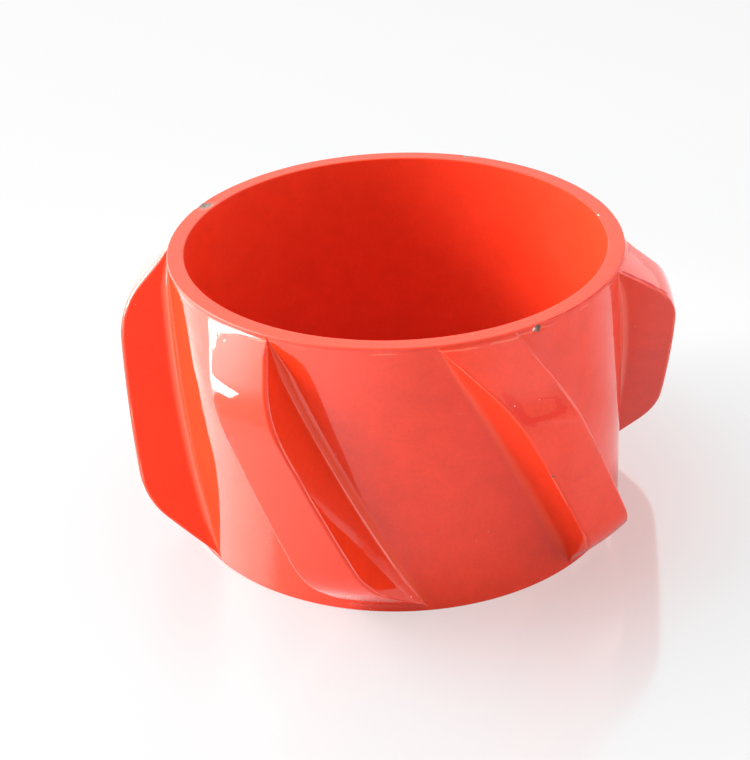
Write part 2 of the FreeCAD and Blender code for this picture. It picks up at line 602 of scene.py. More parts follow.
def bead_height(point):
    """How far the paint's bead stands out below a rim."""
    end_distance = min(point.z, height - point.z)
    wander = BEAD_WANDER * noise.noise(point / BEAD_WANDER_SIZE)
    off = (end_distance - BEAD_DOWN - wander) / BEAD_HALF_WIDTH
    if abs(off) >= 1:
        return 0.0
    broken = noise.noise(point / BEAD_BREAK_SIZE + BEAD_BREAK_PLACE)
    return BEAD_HEIGHT * max(0.0, BEAD_MEAN + BEAD_SWING * broken) * (1 - off * off) ** 2


def along_line(point, start, end):
    """How far a point is from a line, and how far along the line it lies."""
    span = end - start
    share = max(0.0, min(1.0, (point - start).dot(span) / span.dot(span)))
    return (point - start - share * span).length, share


def run_height(point):
    """How far a run of paint stands out: it is fullest near its lower end."""
    highest = 0.0
    for start, end, half_width in RUNS.values():
        distance, share = along_line(point, start, end)
        off = distance / (half_width * MM)
        if off < 1:
            fullness = RUN_TOP_SHARE + (1 - RUN_TOP_SHARE) * share ** 2
            highest = max(highest, RUN_HEIGHT * fullness * (1 - off * off) ** 2)
    return highest


def chip_depth(point):
    """How deep a chip is at a point."""
    deepest = 0.0
    for start, end, half_width in CHIPS.values():
        ragged = 1 + CHIP_RAGGED * noise.noise(point / CHIP_RAGGED_SIZE)
        off = along_line(point, start, end)[0] / (half_width * MM * ragged)
        if off < 1:
            deepest = max(deepest, CHIP_DEPTH * (1 - off ** 3))
    return deepest


def press_relief(sheet):
    """Moves every point of the skin along its normal. Beads and runs are on the outside only."""
    sheet.normal_update()
    outside_from = sleeve_radius - 0.5 * RIM_ROUND
    shifts = []
    for vert in sheet.verts:
        point = vert.co
        shift = -relief_depth(point)
        if math.hypot(point.x, point.y) > outside_from:
            shift += bead_height(point) + run_height(point)
        shifts.append(vert.normal * (shift - chip_depth(point)))
    for vert, shift in zip(sheet.verts, shifts):
        vert.co += shift


press_relief(casting)
print("highest point, mm:", round(max(vert.co.z for vert in casting.verts) / MM, 3))

# %% [markdown]
# ## The finished piece
#
# The mesh becomes one object at the origin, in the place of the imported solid.
# It moves with the part's only body.

# %% The finished piece


def finish_mesh(sheet, name):
    """Turns a bmesh into a smooth-shaded object at the origin."""
    data = bpy.data.meshes.new(name)
    sheet.to_mesh(data)
    sheet.free()
    data.shade_smooth()
    piece = bpy.data.objects.new(name, data)
    bpy.context.scene.collection.objects.link(piece)
    return piece


body = finish_mesh(casting, "enamelled_casting")
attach(body, "root")
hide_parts(NODE)
print("faces in", body.name + ":", len(body.data.polygons))

# %% [markdown]
# ## Tools for materials
#
# A pattern in a material is a network of small nodes. A few helpers keep such
# networks short: one links a socket or sets its value, and each of the others
# adds one node and gives back its result.

# %% Node helpers
FLOAT, VECTOR, COLOR = "NodeSocketFloat", "NodeSocketVector", "NodeSocketColor"
MIX_FIRST, MIX_SECOND, MIX_RESULT = 6, 7, 2     # a Mix node's colour sockets
FADE_SOCKETS = ("Value", "From Min", "From Max", "To Min", "To Max")


def feed(tree, socket, source):
    """Links a result to a socket, or sets the socket to a plain value."""
    if isinstance(source, bpy.types.NodeSocket):
        tree.links.new(source, socket)
    else:
        socket.default_value = source


def calculate(tree, operation, *values):
    node = tree.nodes.new("ShaderNodeMath")
    node.operation = operation
    for socket, value in zip(node.inputs, values):
        feed(tree, socket, value)
    return node.outputs[0]


def with_vectors(tree, operation, *values):
    node = tree.nodes.new("ShaderNodeVectorMath")
    node.operation = operation
    for socket, value in zip(node.inputs, values):
        feed(tree, socket, value)
    return node.outputs["Value" if operation in ("LENGTH", "DOT_PRODUCT") else "Vector"]


def scaled(tree, vector, factor):
    node = tree.nodes.new("ShaderNodeVectorMath")
    node.operation = "SCALE"
    feed(tree, node.inputs[0], vector)
    feed(tree, node.inputs["Scale"], factor)
    return node.outputs["Vector"]


def fade(tree, value, start, end, low=0.0, high=1.0):
    """A smooth step from low to high as a value goes from start to end."""
    node = tree.nodes.new("ShaderNodeMapRange")
    node.interpolation_type = "SMOOTHSTEP"
    for name, source in zip(FADE_SOCKETS, (value, start, end, low, high)):
        feed(tree, node.inputs[name], source)
    return node.outputs["Result"]


def times(tree, first, second):
    return calculate(tree, "MULTIPLY", first, second)


def highest_of(tree, first, *others):
    """The highest of several masks or values."""
    for other in others:
        first = calculate(tree, "MAXIMUM", first, other)
    return first


def clouds(tree, place, size, detail=1.0):
    """A cloudy value round zero, in patches about as wide as the size."""
    node = tree.nodes.new("ShaderNodeTexNoise")
    feed(tree, node.inputs["Vector"], place)
    node.inputs["Scale"].default_value = 1 / size
    node.inputs["Detail"].default_value = detail
    return calculate(tree, "SUBTRACT", node.outputs[0], 0.5)      # the node's own middle value


def mixed(tree, share, first, second):
    node = tree.nodes.new("ShaderNodeMix")
    node.data_type = "RGBA"
    feed(tree, node.inputs["Factor"], share)
    feed(tree, node.inputs[MIX_FIRST], first)
    feed(tree, node.inputs[MIX_SECOND], second)
    return node.outputs[MIX_RESULT]


def new_group(name, inputs, outputs):
    """An empty node group with named sockets, and the sockets at its two ends."""
    group = bpy.data.node_groups.new(name, "ShaderNodeTree")
    for socket, kind in inputs.items():
        group.interface.new_socket(name=socket, in_out="INPUT", socket_type=kind)
    for socket, kind in outputs.items():
        group.interface.new_socket(name=socket, in_out="OUTPUT", socket_type=kind)
    start = group.nodes.new("NodeGroupInput")
    end = group.nodes.new("NodeGroupOutput")
    return group, start.outputs, end.inputs


def place_group(tree, group, values):
    """Puts a group into a material with its own values."""
    node = tree.nodes.new("ShaderNodeGroup")
    node.node_tree = group
    for name, value in values.items():
        feed(tree, node.inputs[name], value)
    return node.outputs[0]


print("node helpers ready")

# %% [markdown]
# ## What the paint does everywhere
#
# The part was dipped in thick gloss enamel, and both the outside and the bore
# have it. Three effects are common to them, so each is a node group: the tone
# wanders a little because the coat isn't equally thick, the skin has the fine
# ripple that painters call orange peel, and handling leaves duller patches.

# %% Tone, orange peel and smudges
TONE_SIZES = (36 * MM, 7 * MM, 1.1 * MM)
PEEL_SIZE, PEEL_GRAIN_SIZE = 3.6 * MM, 1.1 * MM
SMUDGE_SIZE = 28 * MM
SMUDGE_SPREAD = 0.16           # of the cloudy value, from a clean place to a dull one


def build_paint_tone():
    sockets = {"Place": VECTOR, "Color": COLOR, "Variation": FLOAT}
    group, given, result = new_group("paint_tone", sockets, {"Color": COLOR})
    total = 0.0
    for size in TONE_SIZES:
        total = calculate(group, "ADD", clouds(group, given["Place"], size), total)
    gain = calculate(group, "MULTIPLY_ADD", total, given["Variation"], 1.0)
    feed(group, result["Color"], scaled(group, given["Color"], gain))
    return group


def build_orange_peel():
    sockets = {"Place": VECTOR, "Ripple": FLOAT, "Grain": FLOAT}
    group, given, result = new_group("orange_peel", sockets, {"Height": FLOAT})
    ripple = times(group, clouds(group, given["Place"], PEEL_SIZE, 0.0), given["Ripple"])
    grain = clouds(group, given["Place"], PEEL_GRAIN_SIZE)
    feed(group, result["Height"], calculate(group, "MULTIPLY_ADD", grain, given["Grain"], ripple))
    return group


def build_smudges():
    sockets = {"Place": VECTOR, "Clean": FLOAT, "Dull": FLOAT}
    group, given, result = new_group("smudges", sockets, {"Roughness": FLOAT})
    cloudy = clouds(group, given["Place"], SMUDGE_SIZE, 3.0)
    feed(group, result["Roughness"], fade(group, cloudy, 0.0, SMUDGE_SPREAD, given["Clean"], given["Dull"]))
    return group


paint_tone = build_paint_tone()
orange_peel = build_orange_peel()
smudges = build_smudges()
print("groups:", [group.name for group in (paint_tone, orange_peel, smudges)])

# %% [markdown]
# ## Marks in the paint
#
# A chip, scratch, dash or speck is a short line with a width. One group
# measures how far a point of the surface is from such a line and gives a mask
# that is 1 on it. The line narrows towards its ends, and the noise that comes
# in makes its border ragged. A second group draws a line at a set distance
# from an edge, and a third scatters tiny specks of dirt.

# %% Groups for marks
MARK_NARROWING = -0.6          # what is lost of a line's width at its ends, as a share
MARK_FADE = (1.15, 0.75)       # where a mark starts and where it is full, in half widths
LINE_FADE = (1.3, 0.4)


def build_paint_mark():
    sockets = {"Place": VECTOR, "Ragged": FLOAT, "Start": VECTOR, "Span": VECTOR, "Half Width": FLOAT}
    group, given, result = new_group("paint_mark", sockets, {"Mask": FLOAT})
    offset = with_vectors(group, "SUBTRACT", given["Place"], given["Start"])
    across = with_vectors(group, "DOT_PRODUCT", offset, given["Span"])
    length = with_vectors(group, "DOT_PRODUCT", given["Span"], given["Span"])
    share = highest_of(group, calculate(group, "DIVIDE", across, length), 0.0)
    share = calculate(group, "MINIMUM", share, 1.0)
    nearest = scaled(group, given["Span"], share)
    off = with_vectors(group, "LENGTH", with_vectors(group, "SUBTRACT", offset, nearest))
    from_middle = calculate(group, "MULTIPLY_ADD", share, 2.0, -1.0)
    fullness = calculate(group, "MULTIPLY_ADD", times(group, from_middle, from_middle), MARK_NARROWING, 1.0)
    border = times(group, calculate(group, "ADD", fullness, given["Ragged"]), given["Half Width"])
    feed(group, result["Mask"], fade(group, calculate(group, "DIVIDE", off, border), *MARK_FADE))
    return group


def build_edge_line():
    sockets = {"Distance": FLOAT, "Wander": FLOAT, "Shift": FLOAT, "Half Width": FLOAT, "Presence": FLOAT}
    group, given, result = new_group("edge_line", sockets, {"Mask": FLOAT})
    off = calculate(group, "SUBTRACT", given["Distance"], given["Shift"])
    off = calculate(group, "ABSOLUTE", calculate(group, "SUBTRACT", off, given["Wander"]))
    line = fade(group, calculate(group, "DIVIDE", off, given["Half Width"]), *LINE_FADE)
    feed(group, result["Mask"], times(group, line, given["Presence"]))
    return group


def build_dirt_specks():
    sockets = {"Place": VECTOR, "Scale": FLOAT, "Size": FLOAT, "Bare Share": FLOAT}
    group, given, result = new_group("dirt_specks", sockets, {"Mask": FLOAT})
    cells = group.nodes.new("ShaderNodeTexVoronoi")
    feed(group, cells.inputs["Vector"], given["Place"])
    feed(group, cells.inputs["Scale"], given["Scale"])
    spot = fade(group, cells.outputs["Distance"], given["Size"], 0.0)
    chosen = calculate(group, "GREATER_THAN", cells.outputs["Color"], given["Bare Share"])
    feed(group, result["Mask"], times(group, spot, chosen))
    return group


paint_mark = build_paint_mark()
edge_line = build_edge_line()
dirt_specks = build_dirt_specks()
print("mark groups:", [group.name for group in (paint_mark, edge_line, dirt_specks)])

# %% [markdown]
# The marks themselves are named by heading and height, as the chips are. Dark
# ones are dirt and scratches, and painted shade: lines under the rim and along
# a blade's edge, and a crescent on a ramp, where the gloss shows no reflection.
# Pale ones are dust and nicks, and one painted glint. A hook-shaped patch of
# purer red on the shoulder of the right-hand front blade is a painted dark
# reflection. Bare ones show the iron, with a narrow border of rust.

# %% Where the marks are


def line_on_skin(start, end, half_width):
    """A mark from one heading and height to another."""
    return on_skin(*start), on_skin(*end), half_width


def spot_on_skin(heading, level, half_width):
    start = on_skin(heading, level)
    return start, start + Vector((0, 0, half_width * MM)), half_width


BARE_SHARE, RUST_SHARE = 0.8, 1.4       # of a chip's width, and of the bare iron's

DARK_MARKS = [
    # heading and height of each end, and half the width in millimetres
    # Painted shade: the first nine, the one at -61.5 and the two at -66.5. They are lines under the rim and
    # along the right-hand front blade's edge, and a crescent on the ramp of the blade at the right, where
    # the gloss shows no reflection.
    line_on_skin((-75, 97.3), (-64.5, 97.7), 0.15),
    (on_rim(-60), on_rim(-55), 0.22),
    (on_rim(-54.5), on_rim(-49), 0.34),
    (on_rim(-48.5), on_rim(-42), 0.28),
    (on_rim(-42), on_rim(-36), 0.36),
    line_on_skin((-36, 97.4), (-29, 96.6), 0.45),
    line_on_skin((-26.3, 96.6), (-22.3, 91.6), 0.65),
    line_on_skin((-22.3, 91.6), (-18.3, 85.6), 0.95),
    line_on_skin((-18.3, 85.6), (-15.7, 81.6), 0.60),
    line_on_skin((-32.7, 93), (-31.2, 88.5), 0.34),
    line_on_skin((-31.5, 88), (-29.6, 81), 0.32),
    line_on_skin((-61.5, 97.3), (-58, 96.8), 0.18),
    line_on_skin((-63.5, 49.4), (-59.4, 50.2), 0.15),
    line_on_skin((-62.3, 57.5), (-60.8, 57.6), 0.15),
    line_on_skin((-66.8, 95.2), (-66.5, 91.2), 0.30),
    line_on_skin((-66.5, 91.2), (-65.2, 86.8), 0.24),
    line_on_skin((-104, 19), (-98.7, 10.4), 0.22),
    line_on_skin((-132.2, 72), (-131.2, 67.5), 0.24),
    spot_on_skin(-68, 95.4, 0.5),
    spot_on_skin(-92.6, 43.8, 0.3),
    spot_on_skin(-116.6, 22.8, 0.25),
    spot_on_skin(-113.7, 37.7, 0.25),
    spot_on_skin(-111.4, 34, 0.2),
    line_on_skin((74, 62), (78, 58), 0.2),
    line_on_skin((128, 52), (129, 49), 0.24),
    line_on_skin((30, 40), (33, 39), 0.16),
]
PALE_MARKS = [
    (around(4.6, RIM_LEVEL, 72.1), around(5.6, RIM_LEVEL, 72.1), 0.32),
    # painted glint: this spot sits in the window's highlight on the left front blade's ramp
    spot_on_skin(-139.6, 93.7, 0.5),
    spot_on_skin(-64.1, 96.5, 0.85),
    spot_on_skin(-75, 81.5, 0.24),
    spot_on_skin(-69.6, 81.5, 0.18),
    spot_on_skin(-96, 8.1, 0.35),
    line_on_skin((100, 80), (103, 79), 0.2),
]
# Painted dark reflection: a hook-shaped patch of purer red where the gloss mirrors nothing bright.
DARK_REFLECTION_MARKS = [
    line_on_skin((-76.4, 85.0), (-73.4, 77.6), 1.9),
    line_on_skin((-74.4, 78.6), (-71.6, 74.8), 1.6),
    line_on_skin((-73.6, 76.4), (-67.0, 76.0), 0.95),
    line_on_skin((-69.0, 75.9), (-64.4, 77.0), 1.4),
    line_on_skin((-65.0, 75.8), (-66.2, 81.0), 1.3),
    line_on_skin((-66.0, 80.6), (-69.8, 82.0), 0.35),
]
BARE_MARKS = [(start, end, BARE_SHARE * half_width) for start, end, half_width in CHIPS.values()]
BARE_MARKS.append(spot_on_skin(-67.6, 53.9, 0.50))
RUST_MARKS = [(start, end, RUST_SHARE * half_width) for start, end, half_width in BARE_MARKS]
print("marks:", len(DARK_MARKS), "dark,", len(PALE_MARKS), "pale,", len(BARE_MARKS), "bare")

# %% [markdown]
# ## Enamel on the outside
#
# The coat is a smooth red-orange gloss. In the fillets at the blades' roots
# it is painted a little lighter and more orange, a painted highlight of the
# light there. Along the blades' edges and below the rim a thin dark line of
# painted shade shows here and there, with a pale line of painted highlight
# beside it. The rim itself is rubbed dull, and the wall just below it is lumpy,
# where the coat dried thick. What the chips lay bare is iron with dirt in it,
# so it is only a little metallic.

# %% Colours and sizes of the enamel
ENAMEL_COLOR = (0.78, 0.039, 0.0105, 1.0)
# painted highlight: the root fillets lighter and more orange
FILLET_HIGHLIGHT_COLOR = (0.84, 0.062, 0.014, 1.0)
# for dirt, and for painted shade where the gloss shows no reflection
DIRT_AND_SHADE_COLOR = (0.62, 0.006, 0.002, 1.0)
# painted dark reflection: the coat's red with no gloss over it
DARK_REFLECTION_COLOR = (0.76, 0.008, 0.001, 1.0)
# painted highlight: the pale line beside each painted shade line
LINE_HIGHLIGHT_COLOR = (0.90, 0.20, 0.12, 1.0)
# for dust and nicks, and for one painted glint
DUST_AND_GLINT_COLOR = (0.86, 0.60, 0.54, 1.0)
IRON_COLOR = (0.25, 0.19, 0.155, 1.0)
SOILED_COLOR = (0.12, 0.065, 0.050, 1.0)
RUST_COLOR = (0.30, 0.075, 0.040, 1.0)
PEEL_DEPTH = 0.012 * MM
CHIP_STEP = 6.0                # how deep bare iron lies, in peel depths
LUMP_SIZE = 3.0 * MM           # thick paint is lumpy near the top rim
LUMP_HEIGHT = 5.0              # in peel depths
LUMP_END, LUMP_FULL = 13.0, 3.0          # millimetres below the rim
TONE_VARIATION = 0.16
RAGGED_SIZE, RAGGED_AMOUNT = 0.9 * MM, 1.2
SOIL_SIZE = 1.0 * MM
SOIL_SPREAD = 0.10             # of the cloudy value, each way from its middle
RUBBED_START, RUBBED_FULL = 1.0, 0.5     # millimetres below the rim
IRON_METALLIC = 0.30
SPECK_SHARE, LINE_SHARE = 0.7, 0.8       # how dark specks and edge lines are, beside the marks
# how strong the painted dark reflection and the painted highlight lines are
DARK_REFLECTION_SHARE, LINE_HIGHLIGHT_SHARE = 0.55, 0.45
# the painted highlight in the root fillets: where it starts and is full, in mm from a root, and its share
FILLET_HIGHLIGHT_START, FILLET_HIGHLIGHT_FULL, FILLET_HIGHLIGHT_SHARE = 3.4, 0.6, 0.55     # millimetres from a root
ROUGHNESS = {"clean": 0.05, "smudged": 0.10, "rim": 0.50, "rust": 0.5, "pale": 0.5, "dark": 0.6}
print("roughness of the clean coat:", ROUGHNESS["clean"])

# %% [markdown]
# A few helpers serve both materials. The list of marks becomes one mask, and
# the distances that the mesh keeps are read as attributes.

# %% Helpers for whole materials


def all_marks(tree, place, marks):
    """One mask for a list of marks."""
    ragged = times(tree, clouds(tree, place, RAGGED_SIZE), RAGGED_AMOUNT)
    total = 0.0
    for start, end, half_width in marks:
        values = {"Place": place, "Ragged": ragged, "Start": start, "Span": end - start}
        values["Half Width"] = half_width * MM
        total = highest_of(tree, place_group(tree, paint_mark, values), total)
    return total


def attribute(tree, name):
    node = tree.nodes.new("ShaderNodeAttribute")
    node.attribute_name = name
    return node.outputs["Fac"]


def start_material(name):
    """A new material, its node tree and shader, and the place on the object."""
    material = bpy.data.materials.new(name)
    material.use_nodes = True
    tree = material.node_tree
    place = tree.nodes.new("ShaderNodeTexCoord").outputs["Object"]
    return material, tree, tree.nodes["Principled BSDF"], place


def bumped(tree, shader, height_value, depth):
    """Feeds a height to the shader as fine relief."""
    bump = tree.nodes.new("ShaderNodeBump")
    bump.inputs["Distance"].default_value = depth
    feed(tree, bump.inputs["Height"], height_value)
    feed(tree, shader.inputs["Normal"], bump.outputs["Normal"])


def specks(tree, place, apart, size, bare_share):
    """A mask of scattered specks of dirt."""
    values = {"Place": place, "Scale": 1 / apart, "Size": size, "Bare Share": bare_share}
    return place_group(tree, dirt_specks, values)


print("material helpers ready")

# %% [markdown]
# The painted shade and highlight lines along edges and rims wander by about
# half a millimetre and are only there in patches, so that they look loose and
# not like a drawn border.

# %% Lines along the edges
LINE_WANDER, LINE_WANDER_SIZE = 0.9, 5 * MM
LINE_PATCH_SIZE = 16 * MM
EDGE_LINE_SHOWN = (-0.03, 0.07)          # of the cloudy value, from none to all
RIM_LINE_SHOWN = (0.05, -0.04)


def edge_lines(tree, place, from_top):
    """Masks of the painted shade lines and of the painted highlights beside them."""
    wander = times(tree, clouds(tree, place, LINE_WANDER_SIZE), LINE_WANDER)
    patchy = clouds(tree, place, LINE_PATCH_SIZE)
    presence = fade(tree, patchy, *EDGE_LINE_SHOWN)
    rim_presence = fade(tree, patchy, *RIM_LINE_SHOWN)
    from_edge = attribute(tree, "edge_distance")
    lines = {
        # what it follows, how far off it lies and half its width in mm, where it shows
        "edge_shadow": (from_edge, 0.25, 0.17, presence),
        "rim_shadow": (from_top, 0.95, 0.16, rim_presence),
        "edge_lip": (from_edge, -0.55, 0.30, presence),
        "rim_lip": (from_top, 2.0, 0.25, presence),
    }
    masks = {}
    for name, (distance, shift, half_width, shown) in lines.items():
        values = {"Distance": distance, "Wander": wander, "Shift": shift, "Half Width": half_width}
        masks[name] = place_group(tree, edge_line, values | {"Presence": shown})
    shadow = highest_of(tree, masks["edge_shadow"], masks["rim_shadow"])
    lip = highest_of(tree, masks["edge_lip"], masks["rim_lip"])
    return shadow, lip


print("patches of edge line, mm across:", LINE_PATCH_SIZE / MM)

# %% [markdown]
# The base colour is built in layers, each mixed over the last by its mask, and
# the roughness is the highest that any of the masks asks for.

# %% The enamel in layers
MARKS = {
    "bare": BARE_MARKS,
    "rust": RUST_MARKS,
    "dark": DARK_MARKS,
    "pale": PALE_MARKS,
    "dark_reflection": DARK_REFLECTION_MARKS,
}


def enamel_masks(tree, place, from_top):
    """Every mark on the outside as a mask from 0 to 1."""
    masks = {name: all_marks(tree, place, marks) for name, marks in MARKS.items()}
    shadow, masks["lip"] = edge_lines(tree, place, from_top)
    dirt = specks(tree, place, apart=4 * MM, size=0.09, bare_share=0.78)
    dirt = times(tree, dirt, SPECK_SHARE)
    # the painted shade lines join the dark marks and the dirt
    masks["dark"] = highest_of(tree, masks["dark"], dirt, times(tree, shadow, LINE_SHARE))
    return masks


def enamel_color(tree, place, masks):
    tone = {"Place": place, "Color": ENAMEL_COLOR, "Variation": TONE_VARIATION}
    soiled = fade(tree, clouds(tree, place, SOIL_SIZE, 2.0), -SOIL_SPREAD, SOIL_SPREAD)
    from_root = attribute(tree, "root_distance")
    layers = (
        # painted highlight in the root fillets
        (fade(tree, from_root, FILLET_HIGHLIGHT_START, FILLET_HIGHLIGHT_FULL, 0.0, FILLET_HIGHLIGHT_SHARE), FILLET_HIGHLIGHT_COLOR),
        # painted highlight beside the painted shade lines
        (times(tree, masks["lip"], LINE_HIGHLIGHT_SHARE), LINE_HIGHLIGHT_COLOR),
        # painted dark reflection
        (times(tree, masks["dark_reflection"], DARK_REFLECTION_SHARE), DARK_REFLECTION_COLOR),
        # dirt and scratches, with the painted shade lines
        (masks["dark"], DIRT_AND_SHADE_COLOR),
        (masks["rust"], RUST_COLOR),
        (masks["bare"], mixed(tree, soiled, IRON_COLOR, SOILED_COLOR)),
        (masks["pale"], DUST_AND_GLINT_COLOR),
    )
    color = place_group(tree, paint_tone, tone)
    for share, layer_color in layers:
        color = mixed(tree, share, color, layer_color)
    return color


def enamel_roughness(tree, place, from_top, masks):
    values = {"Place": place, "Clean": ROUGHNESS["clean"], "Dull": ROUGHNESS["smudged"]}
    rubbed = fade(tree, from_top, RUBBED_START, RUBBED_FULL)
    rough = [times(tree, rubbed, ROUGHNESS["rim"])]
    rough += [times(tree, masks[name], ROUGHNESS[name]) for name in ("rust", "pale", "dark")]
    return highest_of(tree, place_group(tree, smudges, values), *rough)


def enamel_height(tree, place, from_top, masks):
    """Orange peel, lumps below the rim and the step down to bare iron, in peel depths."""
    peel = place_group(tree, orange_peel, {"Place": place, "Ripple": 1.0, "Grain": 0.35})
    near_rim = times(tree, fade(tree, from_top, LUMP_END, LUMP_FULL), LUMP_HEIGHT)
    lumps = times(tree, clouds(tree, place, LUMP_SIZE, 2.0), near_rim)
    return calculate(tree, "MULTIPLY_ADD", masks["bare"], -CHIP_STEP, calculate(tree, "ADD", peel, lumps))


def make_enamel():
    material, tree, shader, place = start_material("enamel")
    shader.inputs["IOR"].default_value = 1.5
    split = tree.nodes.new("ShaderNodeSeparateXYZ")
    feed(tree, split.inputs[0], place)
    from_top = calculate(tree, "MULTIPLY_ADD", split.outputs["Z"], -1 / MM, height / MM)
    masks = enamel_masks(tree, place, from_top)
    feed(tree, shader.inputs["Base Color"], enamel_color(tree, place, masks))
    feed(tree, shader.inputs["Metallic"], times(tree, masks["bare"], IRON_METALLIC))
    feed(tree, shader.inputs["Roughness"], enamel_roughness(tree, place, from_top, masks))
    bumped(tree, shader, enamel_height(tree, place, from_top, masks), PEEL_DEPTH)
    return material


body.data.materials.append(make_enamel())
print("enamel nodes:", len(body.data.materials[0].node_tree.nodes))

# %% [markdown]
# ## Enamel in the bore
#
# The bore has the same paint, but it was wiped thin so that the part still
# slides over its pipe, and it dried flat, with hardly any gloss. Its colour is
# painted darker than the outside's, as painted shade in the bore. The faces are
# told apart by how far their middles are from the axis.

# %% Bore enamel
# darker than the outside's coat: painted shade in the bore
BORE_SHADED_COLOR = (0.69, 0.037, 0.0115, 1.0)
BORE_VARIATION = 0.14
BORE_GLOSS = 0.12              # as the shader's own specular level
BORE_ROUGHNESS = {"Clean": 0.46, "Dull": 0.58}
BORE_SPECK_SHARE = 0.5


def make_bore_enamel():
    material, tree, shader, place = start_material("bore_enamel")
    shader.inputs["Specular IOR Level"].default_value = BORE_GLOSS
    tone = {"Place": place, "Color": BORE_SHADED_COLOR, "Variation": BORE_VARIATION}
    dirt = specks(tree, place, apart=5 * MM, size=0.07, bare_share=0.85)
    dirt = times(tree, dirt, BORE_SPECK_SHARE)
    color = mixed(tree, dirt, place_group(tree, paint_tone, tone), DIRT_AND_SHADE_COLOR)
    feed(tree, shader.inputs["Base Color"], color)
    rough = place_group(tree, smudges, {"Place": place} | BORE_ROUGHNESS)
    feed(tree, shader.inputs["Roughness"], rough)
    peel = place_group(tree, orange_peel, {"Place": place, "Ripple": 1.0, "Grain": 0.8})
    bumped(tree, shader, peel, PEEL_DEPTH)
    return material


body.data.materials.append(make_bore_enamel())
bore_reach = bore_radius + 0.5 * BORE_ROUND
bore_faces = 0
for face in body.data.polygons:
    if math.hypot(face.center.x, face.center.y) < bore_reach:
        face.material_index = 1
        bore_faces += 1
print("faces in the bore:", bore_faces)

# %% [markdown]
# ## Floor
#
# The part stands on glossy white board, wide enough to fill the view. Light
# Path gives each kind of ray its own look of the board:
#
# - The camera sees matt white near the part, which takes the part's shadow. A
#   glow is mixed over it, because a bright room lifts such a shadow. Far from
#   the part only the glow is left, so the board runs out into plain white.
# - Over that, the camera sees the part mirrored in the board's gloss. The
#   image fades with distance, and toward the window the light washes it out.
#   Close to the part the glow is tinted with painted red bounce light from the part.
# - The part's gloss mirrors the board with the window's glare on it. The glow
#   is stronger than white there, but only a third of it is mixed in, so that
#   it adds about as much as a white sheet would.
# - Any other ray meets plain glossy board, and brings its light to the part.

# %% What the board is
FLOOR_SIZE = 6.0
FLOOR_COLOR = (0.70, 0.70, 0.71, 1.0)
FLOOR_ROUGHNESS = 0.09
WHITE = (1.0, 1.0, 1.0, 1.0)
# painted red bounce light on the board close to the part, in the glow's colour
RED_BOUNCE_COLOR = (1.0, 0.80, 0.78, 1.0)
RED_BOUNCE_REACH = 65 * MM


def distance_toward(tree, place, heading):
    """How far a point lies from the axis toward a heading, in the studio."""
    side = Vector((1, 0, 0))
    side.rotate(Matrix.Rotation(math.radians(heading) - CAMERA_HEADING, 3, "Z"))
    return with_vectors(tree, "DOT_PRODUCT", place, side)


def laid_over(tree, share, lower, upper):
    """Mixes one shader over another and gives back the mix's node."""
    mix = tree.nodes.new("ShaderNodeMixShader")
    for socket, source in zip(mix.inputs, (share, lower.outputs[0], upper.outputs[0])):
        feed(tree, socket, source)
    return mix


print("board, m across:", FLOOR_SIZE)

# %% [markdown]
# The glow's strength and its share are worked out first. Headings are those of
# the studio, where the camera stands at -90 and the window at about 180.

# %% The board's glow
LIT_REACH, PLAIN_START = 130 * MM, 420 * MM     # lit near the part, plain further off
GLOW_SIDE = 225                           # toward the camera and the window
GLOW_START, GLOW_FULL = -1100 * MM, 200 * MM
GLOW_LOW, GLOW_HIGH = 0.89, 1.0
GLOW_NEAR, GLOW_SHARE_NEAR = 0.87, 0.84
GLARE_SIDE = 197                          # where the window glares on the board
GLARE_START, GLARE_FULL = 10 * MM, 200 * MM
GLARE_LOW, GLARE_HIGH = 0.3, 3.0
PATCH_SIDE = 40                           # a smaller patch of glare behind the right side
PATCH_START, PATCH_FULL, PATCH_END = 60 * MM, 80 * MM, 130 * MM
PATCH_GLARE = 0.9
GLOSSY_GLOW_SHARE = 0.35


def glow_strength(tree, place, away, in_view, in_gloss):
    to_glow = distance_toward(tree, place, GLOW_SIDE)
    seen = fade(tree, to_glow, GLOW_START, GLOW_FULL, GLOW_LOW, GLOW_HIGH)
    seen = times(tree, seen, fade(tree, away, LIT_REACH, PLAIN_START, GLOW_NEAR, 1.0))
    to_glare = distance_toward(tree, place, GLARE_SIDE)
    glare = fade(tree, to_glare, GLARE_START, GLARE_FULL, GLARE_LOW, GLARE_HIGH)
    to_patch = distance_toward(tree, place, PATCH_SIDE)
    patch = fade(tree, to_patch, PATCH_START, PATCH_FULL, 0.0, PATCH_GLARE)
    patch = times(tree, patch, fade(tree, to_patch, PATCH_END, PATCH_FULL))
    glare = times(tree, in_gloss, calculate(tree, "ADD", glare, patch))
    return calculate(tree, "MULTIPLY_ADD", in_view, seen, glare)


def glow_share(tree, away, in_view, in_gloss):
    """How much of the glow is mixed in, for the camera and for what the gloss mirrors."""
    view_share = fade(tree, away, LIT_REACH, PLAIN_START, GLOW_SHARE_NEAR, 1.0)
    return calculate(tree, "MULTIPLY_ADD", in_view, view_share, times(tree, in_gloss, GLOSSY_GLOW_SHARE))


print("strongest glare that is mixed in:", round(GLARE_HIGH * GLOSSY_GLOW_SHARE, 2))

# %% [markdown]
# The mirror image and the painted red bounce light share one mask: how much of
# them the window's light leaves. Then the layers are laid over each other.

# %% The board
MIRROR_NEAR = 0.24                        # how much is mirrored close to the part
MIRROR_REACH = 260 * MM
MIRROR_SHARP, MIRROR_BLURRED = 0.09, 0.30
WASHED_SIDE = 190
WASHED_START, WASHED_FULL = -80 * MM, 60 * MM
WASHED_SHARE = 0.30                       # what the window's light leaves of the image


